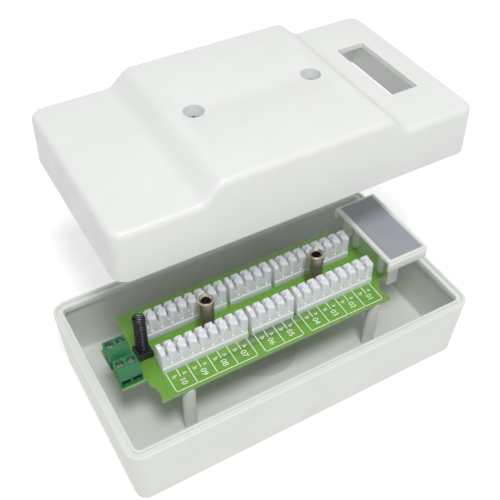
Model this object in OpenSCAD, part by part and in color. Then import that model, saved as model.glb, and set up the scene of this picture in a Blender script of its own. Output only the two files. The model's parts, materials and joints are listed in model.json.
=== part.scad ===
// Surface-mounted distribution box for telephone pairs. A moulded tray carries a printed circuit
// board with two rows of insulation-displacement blocks, two screw terminals, a tamper switch and
// a label holder. A moulded cover with a raised crown closes it and is screwed to two pillars.
// +X runs along the box towards the label holder, -Y is the side where the wires come in,
// z = 0 is the back face that lies on the wall. The cover stands lifted off the tray.

/* [Tray] */
// Length over the rim
box_len = 175; // [172:1:200]
// Width over the rim
box_wid = 94.5; // [92:0.5:120]
// Height of the tray
tray_h = 36; // [32:0.5:48]
// Thickness of the side walls below the rim
wall = 3; // [2.2:0.1:3.6]
// Thickness of the floor
floor_t = 3; // [2:0.1:4]
// Corner radius of the outline
plan_corner = 7; // [6:0.5:12]
// How far each wall leans in from rim to floor
tray_draft = 2; // [0.5:0.1:3]
// Radius of the bottom edge
tray_edge = 1.5; // [0.5:0.1:2.5]
// Radius between floor and walls
floor_fillet = 1.5; // [0.5:0.1:2]
// Width of the rim land
rim_w = 4.7; // [4.2:0.1:6]
// Depth of the thickened rim
rim_depth = 3; // [2:0.1:5]
// Width of the outer rim ridge
ridge_w = 1.8; // [1.6:0.1:2.2]
// Width of the groove in the rim
groove_w = 1.3; // [1.2:0.1:1.6]
// Depth of the groove in the rim
groove_depth = 1; // [0.8:0.1:1.5]
// Diameter of the cable knockout in the floor
knockout_d = 35; // [20:1:38]
// Diameter of each drill-out for a wall screw
drillout_d = 5; // [4:0.5:6]
// Skin left over each drill-out
drillout_skin = 1; // [0.6:0.1:1.5]
// Spacing of the wall screws along X
fix_pitch_x = 134; // [128:1:136]
// Spacing of the wall screws along Y
fix_pitch_y = 43; // [40:1:46]
// Middle of the wall screws along X
fix_mid_x = -5; // [-7:1:-3]

/* [Cover] */
// Height of the two low ends above the rim
lid_low = 24.5; // [24:0.5:32]
// Extra height of the crown
lid_rise = 8; // [7:0.5:12]
// Half length of the flat crown
crown_half = 38; // [36:1:40]
// Length of each slope between crown and low end
slope_run = 13; // [10:1:14]
// Thickness of the cover's top
lid_top = 2.5; // [2:0.1:3]
// Thickness of the cover's walls
lid_wall = 3; // [2.8:0.1:3.4]
// Radius of the upper edge
lid_edge = 3; // [1.5:0.1:4]
// How far each cover wall leans in
lid_draft = 1; // [0.4:0.1:1.6]
// Width of the tongue under the cover's rim
tongue_w = 0.5; // [0.4:0.05:0.6]
// Height of the tongue
tongue_h = 0.45; // [0.3:0.05:0.45]
// Diameter of the recess over each cover screw
recess_d = 9.3; // [8:0.1:11]
// Wall of the screw boss
boss_wall = 2; // [1.5:0.1:3]
// Thickness of the boss floor under the screw head
boss_floor = 2.2; // [1.6:0.1:3]
// Gap between boss and pillar when the cover is shut
boss_gap = 0.3; // [0.2:0.1:1]
// Length of the label window along X
window_len = 15; // [12:0.5:16]
// Width of the label window along Y
window_wid = 43; // [38:0.5:44]
// Middle of the label window and label holder along X
window_x = 66; // [65.5:0.5:66.5]
// Offset of the lifted cover along X
lid_dx = 17.8; // [15:0.1:20]
// Offset of the lifted cover along Y
lid_dy = 40.4; // [35:0.1:45]
// Offset of the lifted cover along Z
lid_dz = 55.4; // [50:0.1:65]

/* [Circuit board] */
// Thickness of the laminate
board_t = 1.6; // [1:0.2:2]
// Depth of the board's upper face below the rim
board_drop = 0.4; // [0:0.1:2]
// Left edge of the main field
board_x0 = -64.65; // [-66:0.05:-64]
// Right edge of the main field
board_x1 = 57.1; // [56:0.1:58]
// Width of the main field
board_wid = 52.3; // [50:0.1:54]
// Left end of the terminal tab
tab_x0 = -76; // [-77:0.5:-75.5]
// Right end of the label tab
tab_x1 = 68.4; // [66:0.1:71]
// Radius of the left corner notches
notch_r0 = 9.3; // [8:0.1:9.6]
// Radius of the right corner notches
notch_r1 = 8; // [7:0.1:8.5]
// Diameter of the four board posts
post_d = 6; // [5:0.1:7]
// Post offset from the middle along Y
post_y = 23.5; // [22:0.1:24]
// Left pair of posts
post_x0 = -50.4; // [-53:0.1:-48]
// Right pair of posts
post_x1 = 48; // [46:0.1:50]

/* [Contact blocks] */
// Distance from contact to contact
pitch = 5; // [4.9:0.05:5.1]
// Plastic left over beyond whole pitches
end_extra = 2.1; // [2:0.1:2.4]
// Gap between neighbouring blocks
block_gap = 2; // [1.5:0.1:2.5]
// Depth of a block over its foot
block_depth = 8.1; // [8:0.1:9]
// Height of the foot ledge
foot_h = 4; // [3:0.1:5]
// Height of the front lobes
lobe_h = 13.2; // [12:0.1:14]
// Height of the rear teeth above the lobes
tooth_up = 0.5; // [0.3:0.1:1]
// Width of each wire slit
slit_w = 0.75; // [0.4:0.05:0.9]
// Height of the slit bottom
slit_z = 8.2; // [7.5:0.1:9.5]
// Distance of each row's middle from the board's middle
row_y = 10; // [9.6:0.1:10.4]
// Middle of both rows along X
row_x = -2.25; // [-3:0.05:-1.5]
// Thickness of a contact blade
blade_t = 0.6; // [0.4:0.05:0.7]
// Width of a contact blade
blade_w = 4; // [3.6:0.1:4.2]
// Height of a contact blade's tips
blade_h = 11; // [10:0.1:12]

/* [Pillars and cover screws] */
// Distance of each pillar from the middle
pillar_x = 29; // [27:0.5:30]
// Diameter of the pillars
pillar_d = 7.5; // [7:0.1:8]
// Height of the pillars above the board
pillar_h = 20; // [19:0.1:21]
// Diameter of the cover screws
screw_d = 4; // [3:0.5:4]
// Length of the cover screws under the head
screw_len = 6; // [6:0.5:8]
// Diameter of the screw head
head_d = 7; // [6:0.1:7.5]
// Height of the screw head
head_h = 2.8; // [2:0.1:3]

/* [Screw terminals] */
// Distance from pole to pole
pole_pitch = 5.08; // [5:0.04:5.08]
// Depth of a terminal body
term_depth = 8.2; // [8:0.1:9]
// Height of a terminal body
term_h = 9.8; // [9.5:0.1:11]
// Middle of the terminals along X
term_x = -71; // [-71.5:0.1:-70.8]
// Front face of the front terminal
term_front_y = -12; // [-12.2:0.1:-11.8]
// Front face of the rear terminal
term_rear_y = -0.6; // [-0.8:0.1:-0.4]
// Diameter of the terminal screw heads
tscrew_head_d = 3.4; // [3:0.1:3.4]
// Diameter of the terminal screw shanks
tscrew_d = 2.4; // [2:0.1:2.5]

/* [Tamper switch] */
// Side of the square switch body
switch_w = 7.2; // [6:0.1:7.4]
// Height of the switch body
switch_h = 3.5; // [3:0.1:4]
// Middle of the switch along X
switch_x = -60.4; // [-60.6:0.1:-60.2]
// Middle of the switch along Y
switch_y = 0.8; // [0:0.1:1]
// Outer diameter of the spring
spring_d = 5.8; // [5:0.1:6]
// Wire of the spring
spring_wire = 0.75; // [0.6:0.05:0.8]
// Height of the spring's tip above the board
spring_top = 24.6; // [24:0.1:25]
// Height of the plunger's tip above the board
plunger_top = 15; // [10:0.5:16]
// Diameter of the plunger's stem
plunger_d = 3.4; // [2.5:0.1:3.4]

/* [Label holder] */
// Length of the holder along X
holder_len = 22.2; // [22:0.1:24]
// Width of the holder along Y
holder_wid = 44.4; // [44:0.1:46]
// Height of the holder above the board
holder_h = 20; // [18:0.1:20.5]
// Thickness of the holder's plate and lips
holder_t = 1.4; // [1.2:0.1:2]
// Height of the two turned-down lips
lip_h = 6.4; // [4:0.1:8]
// Frame left round the label
frame_w = 1.7; // [1.4:0.1:2]
// Thickness of the paper label
label_t = 0.3; // [0.2:0.05:0.4]
// Thickness of the clear cover
cover_t = 0.5; // [0.4:0.05:0.6]

/* [Hidden] */
$fn = 48;
eps = 0.01;          // overlap that keeps joined volumes in one solid
cut = 50;            // length of a cut that runs out through a face
arc_steps = 9;       // steps of a plan corner
edge_steps = 5;      // steps of a rounded edge
slope_steps = 12;    // steps of a cover slope

board_top = tray_h - board_drop;
board_z = board_top - board_t;
fit = 0.1;           // clearance round a stud or a screw
hole_fit = 0.15;     // clearance round a pin in the board

// Contact blocks: three blocks a row, with these many contacts
block_contacts = [8, 4, 8];
block_len = [for (n = block_contacts) n * pitch + end_extra];
row_len = block_len[0] + block_len[1] + block_len[2] + 2 * block_gap;
block_x = [
    row_x - row_len / 2,
    row_x - row_len / 2 + block_len[0] + block_gap,
    row_x + row_len / 2 - block_len[2]
];
lobe_set = 0.45;     // set-back of the lobes behind the foot's face
tooth_y0 = 4.1;      // front of the rear teeth
tooth_y1 = 6.8;      // back of the rear teeth
slit_x = 3;          // first slit from the block's left end
funnel_w = 0.6;      // extra half width of the funnel at the front face
funnel_h = 3;        // height of the funnel over the slit
gap_w = 1;           // width of a gap between rear teeth
gap_h = 3.2;         // depth of the gaps below the rear teeth
gap_flare = 0.65;    // extra half width of a gap at its mouth
rib_x = 4;           // first groove in the front face
rib_w = 1.2;         // width of a groove in the front face
rib_depth = 0.5;     // depth of a groove in the front face
blade_x = 3.65;      // first blade's middle from the left end
blade_y = 3.6;       // blade's middle from the foot's face
blade_z = 1;         // bottom of a blade
blade_fit = 0.1;     // clearance round a blade in its pocket
blade_slot = 0.3;    // slot between a blade's two tips
pin_w = 0.6;         // side of a square solder pin
pin_out = 1.5;       // length of a pin below the board

// Pillars and cover screws
stud_d = screw_d - 0.1;
stud_len = 8;
boss_d = stud_d + 2 * fit + 5;
bore_depth = 9;
pillar_top = board_top + pillar_h;
boss_z0 = pillar_top + boss_gap;
seat_z = boss_z0 + boss_floor;
screw_out = 3.7;     // how far each screw stands backed out of its seat
screw_fit = 0.2;     // clearance of a screw in the cover

// Terminals, measured up from the board
poles = 2;
term_len = poles * pole_pitch;
bay_w = pole_pitch - 1;           // width of the bay of one pole
bay_z0 = 0.6;
bay_z1 = 6.4;
bay_back = term_depth - 0.5;
lip_z = 5.5;                      // lip over the wire mouths
lip_in = 2.6;                     // set-back of the top edge
screw_y = 5.7;                    // screw axis behind the front face
clamp_z0 = 0.7;
clamp_h = 4.2;
clamp_w = bay_w - 0.2;
clamp_len = 2.4;
clamp_wall = 0.5;
bar_z1 = clamp_z0 + clamp_h - clamp_wall - 0.1;
bar_t = 0.7;
bar_w = 2.2;
leg_t = 0.6;
leg_w = 0.9;
thead_z = bay_z1 + 0.45;
thead_h = 1.6;

// Tamper switch
plate_t = 0.3;
rivet_d = 1.3;
rivet_in = 1;
collar_d = spring_d - 0.2;
collar_h = 0.8;
collar_z = switch_h + 0.35;
spring_z = collar_z + collar_h + 0.05;
coil_turns = 14;
coil_steps = 14;
wire_sides = 6;

// Label holder
foot_gap = 0.02;     // play between the holder's feet and the board

// ---- shared shapes ----

// Rounded rectangle about the origin
module rounded_rect(len, wid, r) {
    square([len - 2 * r, wid], center = true);
    square([len, wid - 2 * r], center = true);
    for (sx = [-1, 1], sy = [-1, 1])
        translate([sx * (len / 2 - r), sy * (wid / 2 - r)])
            circle(r = r);
}

// Points of one plan corner, each with its outward normal
function corner_points(cx, cy, r, a0) = [
    for (i = [0 : arc_steps])
        let (a = a0 + 90 * i / arc_steps)
        [cx + r * cos(a), cy + r * sin(a), cos(a), sin(a)]
];

// The -Y half of a rounded rectangle, from its left end to its right end
function half_outline(len, wid, r, stations) = concat(
    corner_points(-len / 2 + r, -wid / 2 + r, r, 180),
    [for (s = stations) [s, -wid / 2, 0, -1]],
    corner_points(len / 2 - r, -wid / 2 + r, r, 270)
);

// The +Y half, back from the right end to the left end
function mirrored_half(half) = [
    for (i = [len(half) - 1 : -1 : 0])
        [half[i][0], -half[i][1], half[i][2], -half[i][3]]
];

// S-shaped height of the cover's crown at x: 1 on the crown, 0 on the low ends
function crown(x) =
    abs(x) <= crown_half ? 1
    : abs(x) >= crown_half + slope_run ? 0
    : 0.5 + 0.5 * cos(180 * (abs(x) - crown_half) / slope_run);

// Places along X where a slope of the crown is sampled
function slope_stations() = [
    for (s = [-1, 1], i = [0 : slope_steps])
        let (u = s < 0 ? slope_steps - i : i)
        s * (crown_half + slope_run * u / slope_steps)
];

// A lofted moulding. Each level is [inset, height, share of the crown's rise], and the walls lean
// in by slope for each millimetre of height.
module moulding(len, wid, r, levels, slope, stations = [], rise = 0) {
    half = half_outline(len, wid, r, stations);
    ring = concat(half, mirrored_half(half));
    n = len(ring);
    m = len(half);
    points = [
        for (level = levels, p = ring)
            let (z = level[1] + level[2] * rise * crown(p[0]))
            let (inset = level[0] + slope * z)
            [p[0] - inset * p[2], p[1] - inset * p[3], z]
    ];
    top = (len(levels) - 1) * n;
    sides = [
        for (j = [0 : len(levels) - 2], i = [0 : n - 1], half_face = [0, 1])
            let (a = j * n + i, b = j * n + (i + 1) % n)
            half_face == 0 ? [a, a + n, b + n] : [a, b + n, b]
    ];
    caps = [
        for (k = [0 : m - 2], side = [0 : 3])
            let (f0 = k, f1 = k + 1, r0 = n - 1 - k, r1 = n - 2 - k)
            side == 0 ? [f0, f1, r1]
            : side == 1 ? [f0, r1, r0]
            : side == 2 ? [top + f0, top + r0, top + r1]
            : [top + f0, top + r1, top + f1]
    ];
    polyhedron(points, concat(sides, caps));
}

// Rounded lower or upper edges of a moulding, as levels
function edge_up(base, e, z) = [
    for (i = [0 : edge_steps])
        let (a = 90 * i / edge_steps)
        [base + e * (1 - sin(a)), z + e * (1 - cos(a)), 0]
];
function edge_over(base, e, z, share) = [
    for (i = [0 : edge_steps])
        let (a = 90 * i / edge_steps)
        [base + e * (1 - cos(a)), z - e + e * sin(a), share]
];

// ---- tray ----

tray_slope = -tray_draft / tray_h;
rim_round = 0.5;
inner_r = max(plan_corner - wall, tray_draft + floor_fillet + 0.6);
rim_step = rim_w - wall;

module tray_outside() {
    moulding(
        box_len, box_wid, plan_corner,
        concat(
            edge_up(tray_draft, tray_edge, 0),
            edge_over(tray_draft, rim_round, tray_h, 0)
        ),
        tray_slope
    );
}

module tray_inside() {
    moulding(
        box_len - 2 * wall, box_wid - 2 * wall, inner_r,
        concat(
            edge_up(tray_draft, floor_fillet, floor_t),
            [
                [tray_draft, tray_h - rim_depth - rim_step, 0],
                [tray_draft + rim_step, tray_h - rim_depth, 0],
                [tray_draft + rim_step, tray_h - rim_round, 0],
                [tray_draft + rim_step - rim_round / 3, tray_h - rim_round / 3, 0],
                [tray_draft + rim_step - rim_round, tray_h, 0],
                [tray_draft + rim_step - rim_round, tray_h + 1, 0]
            ]
        ),
        tray_slope
    );
}

// Closed ring round the rim, between two insets from the outline
module rim_ring(inset0, inset1, z0, z1) {
    translate([0, 0, z0])
        linear_extrude(z1 - z0)
            difference() {
                rounded_rect(box_len - 2 * inset0, box_wid - 2 * inset0, plan_corner - inset0);
                rounded_rect(box_len - 2 * inset1, box_wid - 2 * inset1, plan_corner - inset1);
            }
}

module at_posts() {
    for (x = [post_x0, post_x1], s = [-1, 1])
        translate([x, s * post_y, 0])
            children();
}

module at_pillars() {
    for (s = [-1, 1])
        translate([s * pillar_x, 0, 0])
            children();
}

module at_fixings() {
    for (sx = [-1, 1], sy = [-1, 1])
        translate([fix_mid_x + sx * fix_pitch_x / 2, sy * fix_pitch_y / 2, 0])
            children();
}

knockout_groove = 0.8;

module knockout_ring(z0, z1) {
    translate([0, 0, z0])
        difference() {
            cylinder(d = knockout_d + 2 * knockout_groove, h = z1 - z0);
            translate([0, 0, -1])
                cylinder(d = knockout_d, h = z1 - z0 + 2);
        }
}

module tray() {
    color("gainsboro")
    difference() {
        union() {
            difference() {
                tray_outside();
                tray_inside();
                rim_ring(ridge_w, ridge_w + groove_w, tray_h - groove_depth, tray_h + 1);
            }
            at_posts()
                translate([0, 0, floor_t / 2])
                    cylinder(d = post_d, h = board_z - floor_t / 2);
            at_pillars()
                translate([0, 0, floor_t / 2])
                    cylinder(d = boss_d, h = board_z - floor_t / 2);
            knockout_ring(floor_t - eps, floor_t + 0.4);
        }
        at_pillars()
            translate([0, 0, board_z - bore_depth])
                cylinder(d = stud_d + 2 * fit, h = cut);
        at_fixings()
            translate([0, 0, -1])
                cylinder(d = drillout_d, h = 1 + floor_t - drillout_skin);
        knockout_ring(-1, floor_t - 2);
    }
}

// ---- cover ----

lid_slope = lid_draft / (lid_low + lid_rise);
lid_inner_r = max(plan_corner - lid_wall, lid_draft + 1.6);
lid_rim_round = 0.4;
inner_edge = 1;

module cover_outside() {
    moulding(
        box_len, box_wid, plan_corner,
        concat(
            [[lid_rim_round, 0, 0], [0, lid_rim_round, 0]],
            edge_over(0, lid_edge, lid_low, 1)
        ),
        lid_slope, slope_stations(), lid_rise
    );
}

module cover_inside() {
    moulding(
        box_len - 2 * lid_wall, box_wid - 2 * lid_wall, lid_inner_r,
        concat(
            [[0, -1, 0]],
            edge_over(0, inner_edge, lid_low - lid_top, 1)
        ),
        lid_slope, slope_stations(), lid_rise
    );
}

module at_lifted_cover() {
    translate([lid_dx, lid_dy, lid_dz])
        children();
}

module cover() {
    mid = ridge_w + groove_w / 2;
    color("whitesmoke")
    at_lifted_cover()
    difference() {
        union() {
            translate([0, 0, tray_h])
                difference() {
                    cover_outside();
                    cover_inside();
                }
            rim_ring(mid - tongue_w / 2, mid + tongue_w / 2, tray_h - tongue_h, tray_h + 1);
            at_pillars()
                translate([0, 0, boss_z0])
                    cylinder(
                        d = recess_d + 2 * boss_wall,
                        h = tray_h + lid_low + lid_rise - lid_top / 2 - boss_z0
                    );
        }
        at_pillars()
            translate([0, 0, seat_z])
                cylinder(d = recess_d, h = cut);
        at_pillars()
            translate([0, 0, boss_z0 - 1])
                cylinder(d = screw_d + 2 * screw_fit, h = cut);
        translate([window_x, 0, tray_h + lid_low - lid_top / 2])
            cube([window_len, window_wid, 3 * lid_top], center = true);
    }
}

// Pan-head screw standing on z = 0 under its head, with a cross recess
module cover_screw() {
    cross_w = 0.9;
    cross_len = head_d * 0.62;
    cross_depth = head_h * 0.6;
    color("silver")
    difference() {
        rotate_extrude()
            polygon([
                [0, -screw_len], [screw_d / 2 - 0.5, -screw_len], [screw_d / 2, 0.5 - screw_len],
                [screw_d / 2, 0], [head_d / 2, 0], [head_d / 2, head_h * 0.45],
                [head_d * 0.46, head_h * 0.72], [head_d * 0.37, head_h * 0.92],
                [head_d * 0.25, head_h], [0, head_h]
            ]);
        for (a = [0, 90])
            rotate(a)
                translate([-cross_len / 2, -cross_w / 2, head_h - cross_depth])
                    cube([cross_len, cross_w, cut]);
    }
}

module cover_screw_at(side) {
    at_lifted_cover()
        translate([side * pillar_x, 0, seat_z + screw_out])
            rotate(side * 20)
                cover_screw();
}

// ---- circuit board ----

module board_outline() {
    tab0 = fix_pitch_y / 2 - notch_r0;
    tab1 = fix_pitch_y / 2 - notch_r1;
    difference() {
        union() {
            translate([board_x0, -board_wid / 2])
                square([board_x1 - board_x0, board_wid]);
            translate([tab_x0, -tab0])
                square([-tab_x0, 2 * tab0]);
            translate([0, -tab1])
                square([tab_x1, 2 * tab1]);
        }
        for (s = [-1, 1]) {
            translate([fix_mid_x - fix_pitch_x / 2, s * fix_pitch_y / 2])
                circle(r = notch_r0);
            translate([fix_mid_x + fix_pitch_x / 2, s * fix_pitch_y / 2])
                circle(r = notch_r1);
        }
    }
}

module at_row(side) {
    translate([0, side * row_y - block_depth / 2, board_top])
        children();
}

module at_block_contacts(k) {
    for (i = [0 : block_contacts[k] - 1])
        translate([block_x[k] + i * pitch + blade_x, blade_y, 0])
            children();
}

module at_poles() {
    for (y = [term_front_y, term_rear_y], s = [-1, 1])
        translate([term_x + s * pole_pitch / 2, y, board_top])
            children();
}

module at_switch_legs() {
    for (sx = [-1, 1], sy = [-1, 1])
        translate([switch_x + sx * (switch_w / 2 - rivet_in), switch_y + sy * (switch_w / 2), 0])
            children();
}

leg_in = 0.35;       // set-in of a switch leg behind the body's face

module circuit_board() {
    color("yellowgreen")
    difference() {
        translate([0, 0, board_z])
            linear_extrude(board_t)
                board_outline();
        at_pillars()
            translate([0, 0, board_z - 1])
                cylinder(d = stud_d + 3 * fit, h = board_t + 2);
        for (side = [-1, 1], k = [0 : 2])
            at_row(side)
                at_block_contacts(k)
                    translate([0, 0, -board_t - 1])
                        cylinder(d = pin_w * sqrt(2) + 2 * hole_fit, h = board_t + 2, $fn = 16);
        at_poles()
            translate([0, bay_back - leg_t / 2, -board_t - 1])
                cylinder(d = norm([leg_t, leg_w]) + 2 * hole_fit, h = board_t + 2, $fn = 16);
        at_switch_legs()
            translate([0, 0, board_z - 1])
                cylinder(d = norm([leg_in, 0.7]) * 1.5 + 2 * hole_fit, h = board_t + 2, $fn = 16);
    }
}

// Turned pillar: round head with a screw bore, and a stud that goes through the board into its boss
module pillar(side) {
    bevel = 0.6;
    mouth = 0.85;    // chamfer of the screw bore
    r = pillar_d / 2;
    bore = screw_d / 2 + fit;
    color("gray")
    translate([side * pillar_x, 0, board_top])
        rotate_extrude()
            polygon([
                [0, -stud_len], [stud_d / 2 - 0.4, -stud_len], [stud_d / 2, 0.4 - stud_len],
                [stud_d / 2, 0], [r - 0.3, 0], [r, 0.3], [r, pillar_h - bevel],
                [r - bevel, pillar_h], [bore + mouth, pillar_h], [bore, pillar_h - mouth],
                [bore, pillar_h - bore_depth], [0, pillar_h - bore_depth - bore * 0.6]
            ]);
}

// ---- contact blocks ----

module block_section() {
    top = lobe_h + tooth_up;
    polygon([
        [0, 0], [block_depth, 0], [block_depth, foot_h - 0.4], [block_depth - 0.4, foot_h],
        [tooth_y1, foot_h], [tooth_y1, top - 0.9], [tooth_y1 - 0.5, top], [tooth_y0 + 0.7, top],
        [tooth_y0, lobe_h], [lobe_set + 0.7, lobe_h], [lobe_set, lobe_h - 0.8],
        [lobe_set, foot_h], [0, foot_h - 0.45]
    ]);
}

// Extrudes an X-Z outline from y0 to y1
module along_y(y0, y1) {
    translate([0, y1, 0])
        rotate([90, 0, 0])
            linear_extrude(y1 - y0)
                children();
}

// Upright cut about a slit's middle: narrow up to z1, wider above z2
module slit_cut(half, wide, z0, z1, z2) {
    translate([slit_x, 0])
        polygon([
            [-half, z0], [half, z0], [half, z1], [wide, z2],
            [wide, cut], [-wide, cut], [-wide, z2], [-half, z1]
        ]);
}

// What is cut out of a block for one contact
module contact_cuts() {
    half = slit_w / 2;
    tip = lobe_h + tooth_up;
    along_y(-1, tooth_y0 + eps)
        slit_cut(half, half, slit_z, lobe_h, lobe_h + 1);
    intersection() {
        along_y(-1, tooth_y0 + eps)
            slit_cut(half, half + funnel_w, lobe_h - funnel_h, lobe_h - funnel_h + 0.5, lobe_h);
        linear_extrude(cut)
            polygon([
                [slit_x - half - funnel_w, -2], [slit_x + half + funnel_w, -2],
                [slit_x + half + funnel_w, lobe_set], [slit_x + half, tooth_y0 + 2 * eps],
                [slit_x - half, tooth_y0 + 2 * eps], [slit_x - half - funnel_w, lobe_set]
            ]);
    }
    along_y(tooth_y0, block_depth + 1)
        slit_cut(gap_w / 2, gap_w / 2 + gap_flare, tip - gap_h, tip - gap_h / 2, tip);
    translate([rib_x, -1, foot_h + 1])
        cube([rib_w, 1 + lobe_set + rib_depth, cut]);
    translate([blade_x, blade_y, blade_z - blade_fit])
        rotate(45)
            translate([-blade_w / 2 - blade_fit, -blade_t / 2 - blade_fit, 0])
                cube([blade_w + 2 * blade_fit, blade_t + 2 * blade_fit, cut]);
    translate([blade_x, blade_y, -1])
        rotate(45)
            translate([-pin_w / 2 - blade_fit, -pin_w / 2 - blade_fit, 0])
                cube([pin_w + 2 * blade_fit, pin_w + 2 * blade_fit, 3]);
}

module contact_block(side, k) {
    color("white")
    at_row(side)
        translate([block_x[k], 0, 0])
            difference() {
                rotate([90, 0, 90])
                    linear_extrude(block_len[k])
                        block_section();
                for (i = [0 : block_contacts[k] - 1])
                    translate([i * pitch, 0, 0])
                        contact_cuts();
            }
}

// Forked blade at 45 degrees on a square solder pin
module contact() {
    slot_off = (slit_x - blade_x) * sqrt(2);
    rotate(45) {
        difference() {
            translate([-blade_w / 2, -blade_t / 2, blade_z])
                cube([blade_w, blade_t, blade_h - blade_z]);
            translate([slot_off - blade_slot / 2, -blade_t, slit_z - 2])
                cube([blade_slot, 2 * blade_t, cut]);
        }
        translate([-pin_w / 2, -pin_w / 2, -board_t - pin_out])
            cube([pin_w, pin_w, board_t + pin_out + blade_z + eps]);
    }
}

module contacts(side, k) {
    color("lightgray")
    at_row(side)
        at_block_contacts(k)
            contact();
}

// ---- screw terminals ----

module terminal_section() {
    polygon([
        [0, 0], [0, lip_z - 0.4], [-0.3, lip_z - 0.2], [-0.3, lip_z], [lip_in, term_h],
        [term_depth, term_h], [term_depth, 0]
    ]);
}

// Bay of one pole, open to the front, with its screw well
module pole_bay() {
    translate([-bay_w / 2, -1, bay_z0])
        cube([bay_w, 1 + bay_back, lip_z - 1 - bay_z0]);
    translate([-bay_w / 2, screw_y - clamp_len / 2 - 0.3, bay_z0])
        cube([bay_w, bay_back - screw_y + clamp_len / 2 + 0.3, bay_z1 - bay_z0]);
    translate([0, screw_y, 0])
        translate([0, 0, bay_z1 - 1])
            cylinder(d = tscrew_d + 0.3, h = cut);
    translate([0, screw_y, bay_z1 + 0.4])
        cylinder(d = tscrew_head_d + 0.3, h = cut);
    translate([-leg_w / 2 - 0.1, bay_back - leg_t - 0.1, -1])
        cube([leg_w + 0.2, leg_t + 0.1, 2 + bay_z0]);
}

module terminal(front_y) {
    color("seagreen")
    translate([term_x, front_y, board_top])
        difference() {
            translate([-term_len / 2, 0, 0])
                rotate([90, 0, 90])
                    linear_extrude(term_len)
                        terminal_section();
            for (s = [-1, 1])
                translate([s * pole_pitch / 2, 0, 0])
                    pole_bay();
        }
}

// Fixed bar and solder leg of each pole
module terminal_pins() {
    play = 0.05;
    color("silver")
    at_poles() {
        translate([-bar_w / 2, screw_y - clamp_len / 2 - 0.2, bar_z1 - bar_t])
            cube([bar_w, bay_back - play - screw_y + clamp_len / 2 + 0.2, bar_t]);
        translate([-leg_w / 2, bay_back - play - leg_t, -board_t - pin_out])
            cube([leg_w, leg_t, board_t + pin_out + bar_z1 - bar_t + eps]);
    }
}

// Rising clamp: a square loop round the bar, with a tapped hole for the screw
module clamp_at(front_y, side) {
    color("lightgray")
    translate([term_x + side * pole_pitch / 2, front_y + screw_y, board_top + clamp_z0])
        difference() {
            translate([-clamp_w / 2, -clamp_len / 2, 0])
                cube([clamp_w, clamp_len, clamp_h]);
            translate([clamp_wall - clamp_w / 2, -clamp_len, clamp_wall])
                cube([clamp_w - 2 * clamp_wall, 2 * clamp_len, clamp_h - 2 * clamp_wall]);
            translate([0, 0, clamp_h - 2 * clamp_wall])
                cylinder(d = tscrew_d + 0.16, h = cut);
        }
}

module terminal_screw_at(front_y, side, turn) {
    slot_w = 0.6;
    shank_z = bar_z1 + 0.05;
    color("silver")
    translate([term_x + side * pole_pitch / 2, front_y + screw_y, board_top])
        rotate(turn)
            difference() {
                union() {
                    translate([0, 0, shank_z])
                        cylinder(d = tscrew_d, h = thead_z - shank_z + eps);
                    translate([0, 0, thead_z])
                        cylinder(d = tscrew_head_d, h = thead_h);
                }
                translate([-tscrew_head_d, -slot_w / 2, thead_z + thead_h - 0.8])
                    cube([2 * tscrew_head_d, slot_w, cut]);
            }
}

// ---- tamper switch ----

module switch_body() {
    well = plunger_d + 0.4;
    color("dimgray")
    translate([switch_x, switch_y, board_top])
        difference() {
            translate([-switch_w / 2, -switch_w / 2, 0])
                cube([switch_w, switch_w, switch_h - plate_t]);
            translate([0, 0, 1])
                cylinder(d = well, h = cut);
        }
}

module switch_plate() {
    color("black")
    translate([switch_x, switch_y, board_top + switch_h - plate_t])
        difference() {
            union() {
                translate([-switch_w / 2, -switch_w / 2, 0])
                    cube([switch_w, switch_w, plate_t]);
                for (sx = [-1, 1], sy = [-1, 1])
                    translate([sx, sy, 0] * (switch_w / 2 - rivet_in))
                        cylinder(d1 = rivet_d, d2 = rivet_d * 0.6, h = plate_t + 0.35);
            }
            translate([0, 0, -1])
                cylinder(d = plunger_d + 0.4, h = cut);
        }
}

module switch_legs() {
    leg = 0.7;
    color("silver")
    at_switch_legs()
        translate([-leg / 2, -leg_in / 2, board_z - pin_out / 2])
            cube([leg, leg_in, board_t + pin_out / 2]);
}

module switch_plunger() {
    color("black")
    translate([switch_x, switch_y, board_top])
        rotate_extrude()
            polygon([
                [0, 1.4], [plunger_d / 2, 1.4], [plunger_d / 2, collar_z],
                [collar_d / 2, collar_z], [collar_d / 2, collar_z + collar_h],
                [plunger_d / 2, collar_z + collar_h], [plunger_d / 2, plunger_top - 0.4],
                [plunger_d / 2 - 0.4, plunger_top], [0, plunger_top]
            ]);
}

// Height along the coil: a closed turn at each end, open turns between
function coil_z(turn, turns, wire, height) =
    turn < 1 ? wire * turn
    : turn > turns - 1 ? height - wire * (turns - turn)
    : wire + (height - 2 * wire) * (turn - 1) / (turns - 2);

module tamper_spring() {
    r = (spring_d - spring_wire) / 2;
    height = spring_top - spring_z - 2 * spring_wire - 0.1;
    n = coil_turns * coil_steps;
    points = [
        for (i = [0 : n], k = [0 : wire_sides - 1])
            let (a = 360 * i / coil_steps, b = 360 * k / wire_sides)
            let (q = r + spring_wire / 2 * cos(b))
            let (z = coil_z(i / coil_steps, coil_turns, spring_wire, height))
            [q * cos(a), q * sin(a), z + spring_wire / 2 * (1 + sin(b))]
    ];
    sides = [
        for (i = [0 : n - 1], k = [0 : wire_sides - 1], half_face = [0, 1])
            let (a = i * wire_sides + k, b = i * wire_sides + (k + 1) % wire_sides)
            half_face == 0 ? [a, b, b + wire_sides] : [a, b + wire_sides, a + wire_sides]
    ];
    caps = [
        [for (k = [wire_sides - 1 : -1 : 0]) k],
        [for (k = [0 : wire_sides - 1]) n * wire_sides + k]
    ];
    color("black")
    translate([switch_x, switch_y, board_top + spring_z])
        polyhedron(points, concat(sides, caps));
}

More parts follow.
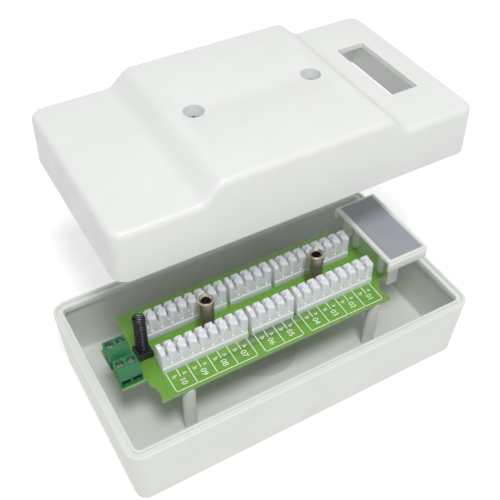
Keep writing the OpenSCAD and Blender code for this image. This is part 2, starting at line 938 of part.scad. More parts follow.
module spring_tip() {
    color("black")
    translate([switch_x, switch_y, board_top + spring_top - spring_wire / 2])
        rotate_extrude()
            translate([(spring_d - spring_wire) / 2, 0])
                circle(d = spring_wire, $fn = 16);
}

// ---- label holder ----

module holder_section() {
    w = holder_wid / 2;
    top = holder_h;
    under = holder_h - holder_t - label_t - cover_t;
    polygon([
        [-w, top - lip_h], [-w, top - 2], [-w + 0.5, top - 1.6], [-w + 0.5, top - 0.5],
        [-w + 1, top], [w - 1, top], [w - 0.5, top - 0.5], [w - 0.5, top - 1.6], [w, top - 2],
        [w, top - lip_h], [w - holder_t, top - lip_h], [w - holder_t, under],
        [holder_t - w, under], [holder_t - w, top - lip_h]
    ]);
}

label_fit = 0.25;    // gap round the label and its clear cover

module label_holder() {
    inner_len = holder_len - 2 * frame_w;
    inner_wid = holder_wid - 2 * frame_w;
    foot_y = fix_pitch_y / 2 - notch_r1 - 3.3;
    leg_x = window_x - 7.4;
    under = holder_h - holder_t - label_t - cover_t + eps;
    color("whitesmoke")
    translate([0, 0, board_top]) {
        difference() {
            translate([window_x - holder_len / 2, 0, 0])
                rotate([90, 0, 90])
                    linear_extrude(holder_len)
                        holder_section();
            translate([window_x - inner_len / 2, -inner_wid / 2, holder_h - label_t - cover_t])
                cube([inner_len, inner_wid, cut]);
        }
        for (s = [-1, 1]) {
            translate([leg_x + 1.3, s * foot_y - 1.5, 0])
                rotate([90, 0, 90])
                    linear_extrude(1.7)
                        polygon([
                            [0.5, foot_gap], [2.5, foot_gap], [3, 1.2], [3, under],
                            [0, under], [0, 1.2]
                        ]);
            translate([leg_x, s * (holder_wid / 2 - holder_t - 2.4) - 0.6, foot_gap])
                cube([5.7, 1.2, under - foot_gap]);
        }
    }
}

module label_layer(z, t) {
    translate([window_x, 0, board_top + z + t / 2])
        cube([
            holder_len - 2 * frame_w - 2 * label_fit,
            holder_wid - 2 * frame_w - 2 * label_fit,
            t
        ], center = true);
}

module label_sheet() {
    color("lavender")
        label_layer(holder_h - label_t - cover_t, label_t);
}

module label_window() {
    color("lightblue", 0.4)
        label_layer(holder_h - cover_t, cover_t);
}

// ---- the nodes ----

tray();
cover();
cover_screw_at(-1);  // cover_screw_left
cover_screw_at(1);  // cover_screw_right
circuit_board();
pillar(-1);  // pillar_left
pillar(1);  // pillar_right
contact_block(-1, 0);  // block_front_left
contact_block(-1, 1);  // block_front_middle
contact_block(-1, 2);  // block_front_right
contact_block(1, 0);  // block_rear_left
contact_block(1, 1);  // block_rear_middle
contact_block(1, 2);  // block_rear_right
contacts(-1, 0);  // contacts_front_left
contacts(-1, 1);  // contacts_front_middle
contacts(-1, 2);  // contacts_front_right
contacts(1, 0);  // contacts_rear_left
contacts(1, 1);  // contacts_rear_middle
contacts(1, 2);  // contacts_rear_right
terminal(term_front_y);  // terminal_front
terminal(term_rear_y);  // terminal_rear
terminal_pins();
clamp_at(term_front_y, -1);  // clamp_front_left
clamp_at(term_front_y, 1);  // clamp_front_right
clamp_at(term_rear_y, -1);  // clamp_rear_left
clamp_at(term_rear_y, 1);  // clamp_rear_right
terminal_screw_at(term_front_y, -1, 100);  // screw_front_left
terminal_screw_at(term_front_y, 1, 30);  // screw_front_right
terminal_screw_at(term_rear_y, -1, 70);  // screw_rear_left
terminal_screw_at(term_rear_y, 1, 120);  // screw_rear_right
switch_body();
switch_plate();
switch_legs();
switch_plunger();
tamper_spring();
spring_tip();
label_holder();
label_sheet();
label_window();
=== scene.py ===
import json
import logging
import math
from dataclasses import dataclass
from enum import Enum

import bmesh
import bpy
from mathutils import Matrix, Vector

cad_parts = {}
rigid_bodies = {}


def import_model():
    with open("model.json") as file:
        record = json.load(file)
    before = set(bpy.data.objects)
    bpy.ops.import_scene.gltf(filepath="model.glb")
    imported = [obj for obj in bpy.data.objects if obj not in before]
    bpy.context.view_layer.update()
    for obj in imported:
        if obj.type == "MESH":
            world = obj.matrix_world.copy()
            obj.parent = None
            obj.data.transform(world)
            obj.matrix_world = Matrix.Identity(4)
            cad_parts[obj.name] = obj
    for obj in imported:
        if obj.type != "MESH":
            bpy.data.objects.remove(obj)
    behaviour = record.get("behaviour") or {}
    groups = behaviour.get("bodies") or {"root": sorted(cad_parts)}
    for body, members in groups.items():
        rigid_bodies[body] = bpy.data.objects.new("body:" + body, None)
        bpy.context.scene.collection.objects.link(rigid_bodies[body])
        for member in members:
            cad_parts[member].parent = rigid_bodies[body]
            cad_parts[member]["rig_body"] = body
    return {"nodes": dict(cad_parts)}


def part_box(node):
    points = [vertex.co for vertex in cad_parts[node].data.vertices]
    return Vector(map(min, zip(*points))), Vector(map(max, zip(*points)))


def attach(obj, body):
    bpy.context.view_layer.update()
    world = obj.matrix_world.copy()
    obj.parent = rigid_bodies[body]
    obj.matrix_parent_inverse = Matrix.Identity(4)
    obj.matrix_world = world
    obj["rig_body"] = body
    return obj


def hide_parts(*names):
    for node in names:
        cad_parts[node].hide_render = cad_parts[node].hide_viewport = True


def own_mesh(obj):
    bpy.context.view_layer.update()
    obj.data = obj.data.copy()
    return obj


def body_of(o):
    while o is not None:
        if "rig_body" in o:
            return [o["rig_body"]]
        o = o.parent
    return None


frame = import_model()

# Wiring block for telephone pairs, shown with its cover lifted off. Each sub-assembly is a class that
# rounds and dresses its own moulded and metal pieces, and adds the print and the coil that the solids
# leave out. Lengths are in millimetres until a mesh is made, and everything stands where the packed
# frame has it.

MM = 0.001
NODES = frame["nodes"]
MIX_A, MIX_B, MIX_OUT = 6, 7, 2          # colour sockets of a Mix node
WAVE_RADIANS = 20                        # a wave texture turns this far for each unit of its scale
CLOUD_DETAIL, GRAIN_DETAIL = 4.0, 2.0
CLOUD_LOW, CLOUD_HIGH = 0.3, 0.7         # nearly all of the cloud noise lies between these
SHARP_DEG = 32.0                         # edges sharper than this are rounded and shaded as edges
FLAT_DEG = 0.5                           # faces that meet flatter than this are one face
WELD = 1e-6                              # points nearer than this, in metres, are one point
BEVEL_STEPS = 2

log = logging.getLogger("wiring_block")


# ---- colour and nodes ----

def linear(hex_colour: str) -> tuple[float, float, float, float]:
    """Turns an sRGB hex colour into a linear one.

    Args:
        hex_colour: six hex digits, such as "e1e3e4".

    Returns:
        Red, green, blue and an alpha of 1, all linear.
    """
    def channel(pair: str) -> float:
        """Linear value of one two-digit channel."""
        s = int(pair, 16) / 255
        return s / 12.92 if s <= 0.04045 else ((s + 0.055) / 1.055) ** 2.4

    red, green, blue = (channel(hex_colour[i:i + 2]) for i in (0, 2, 4))
    return red, green, blue, 1.0


def add_node(tree: bpy.types.NodeTree, kind: str, inputs: dict | None = None,
             **settings: object) -> bpy.types.Node:
    """Adds one shader node with its settings and its links.

    Args:
        tree: node tree that gets the node.
        kind: Blender's type name of the node.
        inputs: value or linked output socket for each input, by its name or number.
        settings: attributes of the node itself.

    Returns:
        The new node.
    """
    node = tree.nodes.new(kind)
    for name, value in settings.items():
        setattr(node, name, value)
    for socket, value in (inputs or {}).items():
        if isinstance(value, bpy.types.NodeSocket):
            tree.links.new(value, node.inputs[socket])
        else:
            node.inputs[socket].default_value = value
    return node


def per_metre(size_mm: float) -> float:
    """Scale of a noise texture whose features are size_mm wide."""
    return 1000 / size_mm


def bands_per_metre(period_mm: float) -> float:
    """Scale of a wave texture with one band every period_mm."""
    return 2 * math.pi / WAVE_RADIANS * 1000 / period_mm


# ---- finishes ----

@dataclass(frozen=True)
class Finish:
    """Surface of one real material.

    The colours are sRGB hex values. The cloud is the slow change of tone that handling and moulding
    leave, and the grain is the finest roughness of the surface.
    """

    name: str
    colour: str
    roughness: float
    ior: float = 1.5
    metallic: float = 0.0
    shade: str = ""                      # second tone of the cloud
    cloud_mm: float = 14.0
    grain_mm: float = 0.5
    grain_depth_mm: float = 0.0
    rough_spread: float = 0.05
    coat: float = 0.0

    def make(self) -> bpy.types.Material:
        """Builds the material once.

        Returns:
            The material, from an earlier call where there was one.
        """
        done = bpy.data.materials.get(self.name)
        if done:
            return done
        material = bpy.data.materials.new(self.name)
        material.use_nodes = True
        tree = material.node_tree
        tree.nodes.clear()
        shader = add_node(tree, "ShaderNodeBsdfPrincipled", {
            "Base Color": linear(self.colour), "Roughness": self.roughness,
            "Metallic": self.metallic, "Coat Weight": self.coat,
        })
        if not self.metallic:
            shader.inputs["IOR"].default_value = self.ior
        add_node(tree, "ShaderNodeOutputMaterial", {"Surface": shader.outputs["BSDF"]})
        place = add_node(tree, "ShaderNodeTexCoord").outputs["Object"]
        self.tone(tree, shader, place)
        self.relief(tree, shader, place)
        return material

    def tone(self, tree: bpy.types.NodeTree, shader: bpy.types.Node, place: bpy.types.NodeSocket) -> None:
        """Clouds the colour and the roughness.

        Args:
            tree: node tree of the material.
            shader: its Principled shader.
            place: coordinates on the piece.
        """
        cloud = add_node(tree, "ShaderNodeTexNoise", {
            "Vector": place, "Scale": per_metre(self.cloud_mm), "Detail": CLOUD_DETAIL,
        })
        if self.shade:
            mix = add_node(tree, "ShaderNodeMix", {
                0: cloud.outputs["Fac"], MIX_A: linear(self.colour), MIX_B: linear(self.shade),
            }, data_type="RGBA")
            tree.links.new(mix.outputs[MIX_OUT], shader.inputs["Base Color"])
        rough = add_node(tree, "ShaderNodeMapRange", {
            "Value": cloud.outputs["Fac"], "From Min": CLOUD_LOW, "From Max": CLOUD_HIGH,
            "To Min": self.roughness - self.rough_spread, "To Max": self.roughness + self.rough_spread,
        })
        tree.links.new(rough.outputs["Result"], shader.inputs["Roughness"])

    def relief(self, tree: bpy.types.NodeTree, shader: bpy.types.Node, place: bpy.types.NodeSocket) -> None:
        """Raises the grain.

        Args:
            tree: node tree of the material.
            shader: its Principled shader.
            place: coordinates on the piece.
        """
        if not self.grain_depth_mm:
            return
        grain = add_node(tree, "ShaderNodeTexNoise", {
            "Vector": place, "Scale": per_metre(self.grain_mm), "Detail": GRAIN_DETAIL,
        })
        self.bump(tree, shader, grain.outputs["Fac"], self.grain_depth_mm)

    def bump(self, tree: bpy.types.NodeTree, shader: bpy.types.Node, height: bpy.types.NodeSocket,
             depth_mm: float) -> None:
        """Links a height to the shader's normal.

        Args:
            tree: node tree of the material.
            shader: its Principled shader.
            height: height between 0 and 1.
            depth_mm: how deep the relief is.
        """
        bump = add_node(tree, "ShaderNodeBump", {"Height": height, "Distance": depth_mm * MM})
        tree.links.new(bump.outputs["Normal"], shader.inputs["Normal"])


@dataclass(frozen=True)
class SolderMask(Finish):
    """Green solder mask over woven glass laminate, with the bare laminate on the cut edges.

    The glossy mask lets the weave through as a faint square relief, and the sawn edge is pale.
    """

    edge: str = "a5c891"
    weave_mm: float = 1.0                # drawn coarser than the real 0.5 mm so that it shows
    tilt_low: float = 0.4                # upright share of the normal where the mask starts
    tilt_high: float = 0.6               # and where it is whole

    def tone(self, tree: bpy.types.NodeTree, shader: bpy.types.Node, place: bpy.types.NodeSocket) -> None:
        """Clouds the mask and bares the edges.

        Args:
            tree: node tree of the material.
            shader: its Principled shader.
            place: coordinates on the piece.
        """
        super().tone(tree, shader, place)
        mask = shader.inputs["Base Color"].links[0].from_socket
        normal = add_node(tree, "ShaderNodeNewGeometry").outputs["Normal"]
        up = add_node(tree, "ShaderNodeSeparateXYZ", {0: normal}).outputs["Z"]
        flat = add_node(tree, "ShaderNodeMath", {0: up}, operation="ABSOLUTE").outputs[0]
        face = add_node(tree, "ShaderNodeMapRange", {
            "Value": flat, "From Min": self.tilt_low, "From Max": self.tilt_high,
        })
        mix = add_node(tree, "ShaderNodeMix", {
            0: face.outputs["Result"], MIX_A: linear(self.edge), MIX_B: mask,
        }, data_type="RGBA")
        tree.links.new(mix.outputs[MIX_OUT], shader.inputs["Base Color"])

    def relief(self, tree: bpy.types.NodeTree, shader: bpy.types.Node, place: bpy.types.NodeSocket) -> None:
        """Lets the glass weave show as two crossed sets of bands.

        Args:
            tree: node tree of the material.
            shader: its Principled shader.
            place: coordinates on the piece.
        """
        bands = [
            add_node(tree, "ShaderNodeTexWave", {"Vector": place, "Scale": bands_per_metre(self.weave_mm)},
                     bands_direction=way).outputs["Fac"]
            for way in ("X", "Y")
        ]
        weave = add_node(tree, "ShaderNodeMath", {0: bands[0], 1: bands[1]}, operation="MULTIPLY")
        self.bump(tree, shader, weave.outputs[0], self.grain_depth_mm)


@dataclass(frozen=True)
class TurnedMetal(Finish):
    """Plated metal off a lathe: fine rings round the axis catch the light in streaks."""

    metallic: float = 1.0
    ring_mm: float = 0.5                 # the real feed is nearer 0.1 mm, too fine to show
    wobble: float = 0.6                  # how unevenly the rings lie

    def relief(self, tree: bpy.types.NodeTree, shader: bpy.types.Node, place: bpy.types.NodeSocket) -> None:
        """Cuts the rings of the turning tool.

        Args:
            tree: node tree of the material.
            shader: its Principled shader.
            place: coordinates on the piece.
        """
        rings = add_node(tree, "ShaderNodeTexWave", {
            "Vector": place, "Scale": bands_per_metre(self.ring_mm), "Distortion": self.wobble,
        }, bands_direction="Z")
        self.bump(tree, shader, rings.outputs["Fac"], self.grain_depth_mm)


@dataclass(frozen=True)
class ClearSheet(Finish):
    """Clear extruded sheet: nearly all that lies behind shows, under a sharp gloss."""

    alpha: float = 0.14

    def make(self) -> bpy.types.Material:
        """Builds the material and lets it show through.

        Returns:
            The material.
        """
        material = super().make()
        shader = next(n for n in material.node_tree.nodes if n.type == "BSDF_PRINCIPLED")
        shader.inputs["Alpha"].default_value = self.alpha
        return material


class Surface(Enum):
    """Every finish on the object."""

    # Moulded ABS with a spark-eroded texture: soft sheen, hardly any highlight
    HOUSING = Finish("moulded_abs_housing", "e3e6e1", 0.46, 1.54, shade="dcdfda",
                     grain_mm=0.6, grain_depth_mm=0.012)
    # The cover is the same plastic as the housing, coloured a little brighter than it, and glossier from a
    # smoother tool
    COVER = Finish("moulded_abs_cover", "e6e8e6", 0.4, 1.54, shade="e0e2df",
                   grain_mm=0.8, grain_depth_mm=0.008)
    # Moulded polyester of the contact blocks: cool white, waxy
    BLOCK = Finish("moulded_pbt_block", "e8eaef", 0.36, 1.56, shade="e2e4e9", cloud_mm=8,
                   grain_mm=0.5, grain_depth_mm=0.006)
    # Solder mask on laminate: saturated green with a glossy top
    LAMINATE = SolderMask("solder_mask_laminate", "6b9f38", 0.3, 1.52, shade="74a842", cloud_mm=20,
                          grain_depth_mm=0.006)
    # Screen-printed epoxy ink: flat white
    INK = Finish("epoxy_print_ink", "eff3ea", 0.6, 1.5, shade="e4eadd", cloud_mm=2,
                 grain_mm=0.25, grain_depth_mm=0.004)
    # Turned brass, dull nickel plate: warm grey with bright streaks
    PILLAR = TurnedMetal("turned_nickel_plate", "b3a99b", 0.3, shade="9c9388", cloud_mm=5,
                         grain_depth_mm=0.01)
    # Rolled and zinc-plated steel: bluish bright metal
    ZINC = Finish("zinc_plated_steel", "c9cdd2", 0.28, metallic=1.0, shade="b4b9bf", cloud_mm=3,
                  grain_mm=0.3, grain_depth_mm=0.003)
    # Stamped brass, dipped tin: soft white metal with a cloudy surface
    TIN = Finish("tinned_brass", "cbc8c0", 0.34, metallic=1.0, shade="b3aea2", cloud_mm=2,
                 grain_mm=0.4, grain_depth_mm=0.004)
    # Moulded glass-filled polyamide: deep green with a slight sheen
    TERMINAL = Finish("moulded_polyamide_green", "2f7a4f", 0.38, 1.53, shade="276c45", cloud_mm=4,
                      grain_mm=0.4, grain_depth_mm=0.008)
    # Nickel-plated steel of clamps and screws in the terminals
    CLAMP = Finish("nickel_plated_steel", "bfc0bd", 0.3, metallic=1.0, shade="a7a7a2", cloud_mm=2,
                   grain_mm=0.3, grain_depth_mm=0.004)
    # Moulded black polyamide: shows only its highlights
    SWITCH = Finish("moulded_polyamide_black", "1d1e20", 0.42, 1.53, shade="26272a", cloud_mm=3,
                    grain_mm=0.4, grain_depth_mm=0.008)
    # Spring wire with black oxide: dark metal under a trace of oil
    WIRE = Finish("black_oxide_wire", "3a3a3e", 0.24, metallic=1.0, shade="2a2a2d", cloud_mm=2,
                  grain_mm=0.3, grain_depth_mm=0.003, coat=0.3)
    # The label holder is moulded in the housing's plastic on a polished tool
    HOLDER = Finish("moulded_abs_holder", "e4e7e3", 0.34, 1.54, shade="dee1dc",
                    grain_mm=0.8, grain_depth_mm=0.005)
    # Uncoated card: flat, cool pale grey, with short fibres
    PAPER = Finish("uncoated_card", "d2d6df", 0.75, 1.45, shade="cacfd9", cloud_mm=3,
                   grain_mm=0.35, grain_depth_mm=0.01)
    # Clear styrene sheet over the card
    CLEAR = ClearSheet("clear_styrene_sheet", "e9edf2", 0.1, 1.59, cloud_mm=30, rough_spread=0.02)


# ---- pieces ----

def box_mm(node: str) -> tuple[Vector, Vector]:
    """Lowest and highest corner of a frame node, in millimetres."""
    low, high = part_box(node)
    return low / MM, high / MM


def settle(piece: bpy.types.Object, body: str, surface: Surface, slot: str,
           *nodes: str) -> bpy.types.Object:
    """Gives a piece its finish and its place in the frame.

    Args:
        piece: finished object, in place.
        body: body that it moves with.
        surface: its finish.
        slot: material slot that it stands for; not used.
        nodes: frame nodes that it replaces.

    Returns:
        The same piece.
    """
    piece.data.materials.clear()
    piece.data.materials.append(surface.value.make())
    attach(piece, body)
    if nodes:
        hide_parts(*nodes)
    log.info("%s on %s: %s, %d faces", piece.name, body, surface.value.name, len(piece.data.polygons))
    return piece


def smooth(mesh: bpy.types.Mesh, sharp_deg: float = SHARP_DEG) -> None:
    """Shades a mesh smooth, apart from edges sharper than sharp_deg."""
    mesh.polygons.foreach_set("use_smooth", [True] * len(mesh.polygons))
    mesh.set_sharp_from_angle(angle=math.radians(sharp_deg))


def new_object(name: str, bm: bmesh.types.BMesh) -> bpy.types.Object:
    """Turns a bmesh into a linked object and frees it.

    Args:
        name: name of the object.
        bm: geometry in metres.

    Returns:
        The new object.
    """
    mesh = bpy.data.meshes.new(name)
    bm.to_mesh(mesh)
    bm.free()
    piece = bpy.data.objects.new(name, mesh)
    bpy.context.scene.collection.objects.link(piece)
    return piece


def apply_modifiers(piece: bpy.types.Object) -> None:
    """Replaces a piece's mesh by what its modifiers make of it.

    Args:
        piece: object whose modifiers are used up.
    """
    graph = bpy.context.evaluated_depsgraph_get()
    final = bpy.data.meshes.new_from_object(piece.evaluated_get(graph), depsgraph=graph)
    piece.modifiers.clear()
    piece.data = final


def softened(node: str, name: str, radius_mm: float, sharp_deg: float = SHARP_DEG) -> bpy.types.Object:
    """Copies a frame node with the small edge radii that a mould or a tool leaves.

    Args:
        node: frame node to copy.
        name: name of the new piece.
        radius_mm: radius on every sharp edge, or 0 for smooth shading alone.
        sharp_deg: angle over which an edge counts as sharp.

    Returns:
        The new piece, not yet settled.
    """
    bm = bmesh.new()
    bm.from_mesh(NODES[node].data)
    bmesh.ops.remove_doubles(bm, verts=bm.verts[:], dist=WELD)
    bmesh.ops.join_triangles(bm, faces=bm.faces[:], angle_face_threshold=math.radians(FLAT_DEG),
                             angle_shape_threshold=math.pi)
    piece = new_object(name, bm)
    if radius_mm:
        bevel = piece.modifiers.new("edge_radius", "BEVEL")
        bevel.width = radius_mm * MM
        bevel.segments = BEVEL_STEPS
        bevel.limit_method = "ANGLE"
        bevel.angle_limit = math.radians(sharp_deg)
        bevel.use_clamp_overlap = True
        apply_modifiers(piece)
    smooth(piece.data, sharp_deg)
    return piece


def dress(node: str, surface: Surface, slot: str, radius_mm: float = 0.0,
          sharp_deg: float = SHARP_DEG) -> bpy.types.Object:
    """Replaces a frame node by its softened copy.

    Args:
        node: frame node.
        surface: its finish.
        slot: its material slot.
        radius_mm: edge radius.
        sharp_deg: angle over which an edge is rounded.

    Returns:
        The new piece.
    """
    body = body_of(NODES[node])[0]
    return settle(softened(node, f"{node}_piece", radius_mm, sharp_deg), body, surface, slot, node)


# ---- sub-assemblies ----

@dataclass
class Tray:
    """Moulded tray with its rim, posts and bosses."""

    edge: float = 0.25                   # radius that the mould leaves on outer edges

    def build(self) -> None:
        """Softens and dresses the tray."""
        dress("tray", Surface.HOUSING, "housing_abs", self.edge)


@dataclass
class Cover:
    """Moulded cover with its two captive screws."""

    edge: float = 0.25
    screw_edge: float = 0.1

    def build(self) -> None:
        """Softens and dresses the cover and its screws."""
        dress("cover", Surface.COVER, "cover_abs", self.edge)
        for side in ("left", "right"):
            dress(f"cover_screw_{side}", Surface.ZINC, "zinc_steel", self.screw_edge)


@dataclass
class BoardPrint:
    """White print on the board: cells, wire marks and pair numbers."""

    line: float = 0.38                   # width of a printed line
    thick: float = 0.02                  # thickness of the ink
    cell_pitch: float = 10.0             # one cell for each pair of contacts
    cell_depth: float = 10.8             # length of the cell lines in front of the block
    tick: float = 4.0                    # length of the line between the two wires
    mark_in: float = 3.25                # wire marks, from the block's foot
    number_in: float = 7.0               # pair numbers, from the block's foot
    mark_size: float = 3.3
    number_size: float = 3.9
    first_number: int = 10               # the numbers fall from the board's left end to its right
    type_steps: int = 3                  # facets in each curve of a letter

    def __post_init__(self) -> None:
        """Finds the board's face."""
        self.z = box_mm("circuit_board")[1].z
        self.bm = bmesh.new()

    def stroke(self, start: tuple[float, float], end: tuple[float, float], width: float = 0.0) -> None:
        """Prints one straight line.

        Args:
            start: X and Y of its first end.
            end: X and Y of its second end.
            width: its width, or 0 for the usual one.
        """
        a, b = Vector(start), Vector(end)
        along = (b - a).normalized()
        half = (width or self.line) / 2
        across = Vector((-along.y, along.x)) * half
        a, b = a - along * half, b + along * half
        foot = [self.bm.verts.new((p.x * MM, p.y * MM, self.z * MM))
                for p in (a - across, b - across, b + across, a + across)]
        face = self.bm.faces.new(foot)
        lifted = bmesh.ops.extrude_face_region(self.bm, geom=[face])["geom"]
        bmesh.ops.translate(self.bm, vec=(0, 0, self.thick * MM),
                            verts=[v for v in lifted if isinstance(v, bmesh.types.BMVert)])

    def words(self, text: str, at: tuple[float, float], size: float, turn_deg: float = -90.0) -> None:
        """Prints letters or figures, centred.

        Args:
            text: what is printed.
            at: X and Y of its middle.
            size: height of the type.
            turn_deg: direction of reading, from +X.
        """
        curve = bpy.data.curves.new("type", "FONT")
        curve.body = text
        curve.size = size * MM
        curve.extrude = self.thick / 2 * MM
        curve.resolution_u = self.type_steps
        curve.align_x = curve.align_y = "CENTER"
        letters = bpy.data.objects.new("type", curve)
        bpy.context.scene.collection.objects.link(letters)
        place = Matrix.Translation((at[0] * MM, at[1] * MM, (self.z + self.thick / 2) * MM))
        mesh = letters.to_mesh()
        mesh.transform(place @ Matrix.Rotation(math.radians(turn_deg), 4, "Z"))
        self.bm.from_mesh(mesh)
        letters.to_mesh_clear()
        bpy.data.objects.remove(letters)
        bpy.data.curves.remove(curve)

    def cells(self) -> None:
        """Prints the row of numbered cells in front of the front blocks."""
        number = self.first_number
        for part in ("left", "middle", "right"):
            low, high = box_mm(f"block_front_{part}")
            count = int((high.x - low.x) // self.cell_pitch)
            first = low.x + (high.x - low.x - count * self.cell_pitch) / 2
            foot, edge = low.y, low.y - self.cell_depth
            lines = [first + i * self.cell_pitch for i in range(count + 1)]
            for x in lines:
                self.stroke((x, foot), (x, edge))
            self.stroke((lines[0], edge), (lines[-1], edge))
            for x in lines[:-1]:
                mid = x + self.cell_pitch / 2
                self.stroke((mid, foot), (mid, foot - self.tick))
                for mark, side in (("b", -1), ("a", 1)):
                    at = mid + side * self.cell_pitch / 4, foot - self.mark_in
                    self.words(mark, at, self.mark_size)
                self.words(f"{number:02d}", (mid, foot - self.number_in), self.number_size)
                number -= 1

    def build(self) -> None:
        """Prints everything and settles it on the board."""
        self.cells()
        piece = new_object("board_print", self.bm)
        settle(piece, "base", Surface.INK, "board_laminate")


@dataclass
class CircuitBoard:
    """Laminate with its print."""

    edge: float = 0.08

    def build(self) -> None:
        """Dresses the board and prints it."""
        dress("circuit_board", Surface.LAMINATE, "board_laminate", self.edge)
        BoardPrint().build()


@dataclass
class ContactBlocks:
    """Two rows of three toothed blocks with their forked contacts."""

    edge: float = 0.12

    def build(self) -> None:
        """Softens and dresses the blocks and the contacts in them."""
        for row in ("front", "rear"):
            for part in ("left", "middle", "right"):
                dress(f"block_{row}_{part}", Surface.BLOCK, "block_polymer", self.edge)
                dress(f"contacts_{row}_{part}", Surface.TIN, "tinned_contact")


@dataclass
class Pillars:
    """Two turned pillars that take the cover screws."""

    edge: float = 0.12

    def build(self) -> None:
        """Softens and dresses both pillars."""
        for side in ("left", "right"):
            dress(f"pillar_{side}", Surface.PILLAR, "nickel_brass", self.edge)


@dataclass
class Terminals:
    """Two screw terminals of two poles each."""

    edge: float = 0.12
    metal_edge: float = 0.08

    def build(self) -> None:
        """Softens and dresses bodies, clamps, screws and pins."""
        for row in ("front", "rear"):
            dress(f"terminal_{row}", Surface.TERMINAL, "terminal_polyamide", self.edge)
            for side in ("left", "right"):
                dress(f"clamp_{row}_{side}", Surface.CLAMP, "clamp_steel", self.metal_edge)
                dress(f"screw_{row}_{side}", Surface.CLAMP, "terminal_screw_steel", self.metal_edge)
        dress("terminal_pins", Surface.TIN, "tinned_brass", self.metal_edge)


@dataclass
class TamperSwitch:
    """Switch that the closed cover holds down through a coil spring."""

    edge: float = 0.1
    wire: float = 0.75
    turns: int = 14
    steps: int = 28                      # sections in one turn
    sides: int = 10                      # sides of the wire
    sharp_deg: float = 60.0              # over the angle between two sides, so the wire looks round

    def coil(self) -> bpy.types.Object:
        """Winds the spring: a closed turn at each end, open turns between.

        Returns:
            The coil, in place.
        """
        low, high = box_mm("tamper_spring")
        middle = (low + high) / 2
        radius = (high.x - low.x - self.wire) / 2
        start, height = low.z + self.wire / 2, high.z - low.z - self.wire
        pitch = (height - 2 * self.wire) / (self.turns - 2)

        def rise(turn: float) -> float:
            """Height of the wire's middle.

            Args:
                turn: turns from the spring's foot.

            Returns:
                Height over the start, in millimetres.
            """
            if turn < 1:
                return self.wire * turn
            if turn > self.turns - 1:
                return height - self.wire * (self.turns - turn)
            return self.wire + pitch * (turn - 1)

        bm = bmesh.new()
        rings = []
        for i in range(self.turns * self.steps + 1):
            angle = 2 * math.pi * i / self.steps
            out = Vector((math.cos(angle), math.sin(angle), 0))
            centre = Vector((middle.x, middle.y, start + rise(i / self.steps))) + out * radius
            ring = []
            for k in range(self.sides):
                turn = 2 * math.pi * k / self.sides
                off = out * math.cos(turn) + Vector((0, 0, math.sin(turn)))
                ring.append(bm.verts.new((centre + off * self.wire / 2) * MM))
            rings.append(ring)
        for one, two in zip(rings, rings[1:]):
            for k in range(self.sides):
                j = (k + 1) % self.sides
                bm.faces.new((one[k], two[k], two[j], one[j]))
        bm.faces.new(rings[0])
        bm.faces.new(reversed(rings[-1]))
        bmesh.ops.recalc_face_normals(bm, faces=bm.faces[:])
        piece = new_object("tamper_coil", bm)
        smooth(piece.data, self.sharp_deg)
        return piece

    def build(self) -> None:
        """Dresses the switch and winds its spring."""
        dress("switch_body", Surface.SWITCH, "switch_black", self.edge)
        dress("switch_plate", Surface.SWITCH, "switch_black", self.edge / 2)
        dress("switch_legs", Surface.TIN, "tinned_brass")
        dress("switch_plunger", Surface.SWITCH, "switch_black")
        dress("spring_tip", Surface.WIRE, "spring_black", sharp_deg=self.sharp_deg)
        coil = settle(self.coil(), "base", Surface.WIRE, "spring_black", "tamper_spring")
        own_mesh(coil)


@dataclass
class LabelHolder:
    """Bridge over the board's end that holds the paper label under a clear sheet."""

    edge: float = 0.18
    sheet_edge: float = 0.06

    def build(self) -> None:
        """Dresses the holder, the label and the sheet over it."""
        dress("label_holder", Surface.HOLDER, "holder_abs", self.edge)
        dress("label_sheet", Surface.PAPER, "label_paper")
        dress("label_window", Surface.CLEAR, "clear_cover", self.sheet_edge)


# ---- studio ----

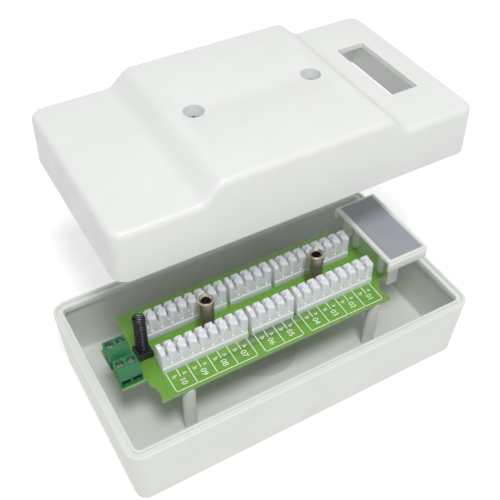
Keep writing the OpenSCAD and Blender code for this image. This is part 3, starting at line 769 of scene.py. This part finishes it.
@dataclass
class Studio:
    """Pale floor, soft key light from the front and above, and the camera."""

    eye: tuple[float, float, float] = (-127.67, -206.92, 314.76)
    azimuth: float = -30.3
    elevation: float = 45.0
    roll: float = 0.7
    lens: float = 56.59
    film: float = 36.0
    near: float = 10.0
    far: float = 20000.0
    light_way: tuple[float, float, float] = (-0.10, -0.35, 0.93)
    light_far: float = 1200.0
    light_size: float = 300.0
    light_power: float = 7.0
    fill: float = 0.55                   # strength of the world's light on the object
    floor_size: float = 6000.0
    floor_drop: float = 0.1              # keeps the floor off the tray's back face
    paper: str = "f0f0f0"
    paper_glow: float = 0.35             # lifts the paper to white where it is looked at

    def camera(self) -> None:
        """Sets the camera."""
        a, e = math.radians(self.azimuth), math.radians(self.elevation)
        back = Vector((math.sin(a) * math.cos(e), -math.cos(a) * math.cos(e), math.sin(e)))
        right = (-back).cross(Vector((0, 0, 1))).normalized()
        up = back.cross(right)
        turn = Matrix((right, up, back)).transposed() @ Matrix.Rotation(math.radians(self.roll), 3, "Z")
        data = bpy.data.cameras.new("camera")
        data.lens = self.lens
        data.sensor_width = self.film
        data.clip_start, data.clip_end = self.near * MM, self.far * MM
        camera = bpy.data.objects.new("camera", data)
        camera.matrix_world = Matrix.Translation(Vector(self.eye) * MM) @ turn.to_4x4()
        bpy.context.scene.collection.objects.link(camera)
        bpy.context.scene.camera = camera

    def lights(self) -> None:
        """Hangs the key light."""
        way = Vector(self.light_way).normalized()
        data = bpy.data.lights.new("key", "AREA")
        data.shape = "DISK"
        data.size = self.light_size * MM
        data.energy = self.light_power
        key = bpy.data.objects.new("key", data)
        key.location = way * self.light_far * MM
        key.rotation_euler = way.to_track_quat("Z", "Y").to_euler()
        bpy.context.scene.collection.objects.link(key)

    def backdrop_share(self, tree: bpy.types.NodeTree) -> bpy.types.NodeSocket:
        """Tells rays that see the backdrop itself from rays that it lights.

        Args:
            tree: node tree that gets the nodes.

        Returns:
            1 for rays from the camera, off a glossy face or through a clear one, else 0.
        """
        path = add_node(tree, "ShaderNodeLightPath")
        seen = path.outputs["Is Camera Ray"]
        for way in ("Is Glossy Ray", "Is Transmission Ray"):
            seen = add_node(tree, "ShaderNodeMath", {0: seen, 1: path.outputs[way]},
                            operation="MAXIMUM").outputs[0]
        return seen

    def world(self) -> None:
        """Lights the object evenly and shows white behind it."""
        world = bpy.data.worlds.new("studio")
        world.use_nodes = True
        tree = world.node_tree
        tree.nodes.clear()
        glow = add_node(tree, "ShaderNodeMapRange", {
            "Value": self.backdrop_share(tree), "To Min": self.fill, "To Max": 1.0,
        })
        shade = add_node(tree, "ShaderNodeBackground", {
            "Color": (1, 1, 1, 1), "Strength": glow.outputs["Result"],
        })
        add_node(tree, "ShaderNodeOutputWorld", {"Surface": shade.outputs[0]})
        bpy.context.scene.world = world

    def floor(self) -> None:
        """Lays the pale floor under the object."""
        bm = bmesh.new()
        bmesh.ops.create_grid(bm, x_segments=1, y_segments=1, size=self.floor_size / 2 * MM)
        floor = new_object("floor", bm)
        floor.location.z = -self.floor_drop * MM
        material = bpy.data.materials.new("white_paper_floor")
        material.use_nodes = True
        tree = material.node_tree
        tree.nodes.clear()
        paper = add_node(tree, "ShaderNodeBsdfDiffuse", {"Color": linear(self.paper)})
        glow = add_node(tree, "ShaderNodeEmission", {"Color": (1, 1, 1, 1), "Strength": self.paper_glow})
        both = add_node(tree, "ShaderNodeAddShader", {0: paper.outputs[0], 1: glow.outputs[0]})
        pick = add_node(tree, "ShaderNodeMixShader", {
            0: self.backdrop_share(tree), 1: paper.outputs[0], 2: both.outputs[0],
        })
        add_node(tree, "ShaderNodeOutputMaterial", {"Surface": pick.outputs[0]})
        floor.data.materials.append(material)

    def build(self) -> None:
        """Sets up camera, lights, world and floor."""
        self.camera()
        self.lights()
        self.world()
        self.floor()
        bpy.context.scene.view_settings.view_transform = "Standard"


def main() -> None:
    """Builds the object, then the studio round it."""
    logging.basicConfig(level=logging.INFO, format="%(name)s: %(message)s")
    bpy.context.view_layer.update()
    for part in (Studio(), Tray(), Cover(), CircuitBoard(), ContactBlocks(), Pillars(), Terminals(),
                 TamperSwitch(), LabelHolder()):
        part.build()
        log.info("%s done", type(part).__name__)


if __name__ == "__main__":
    main()
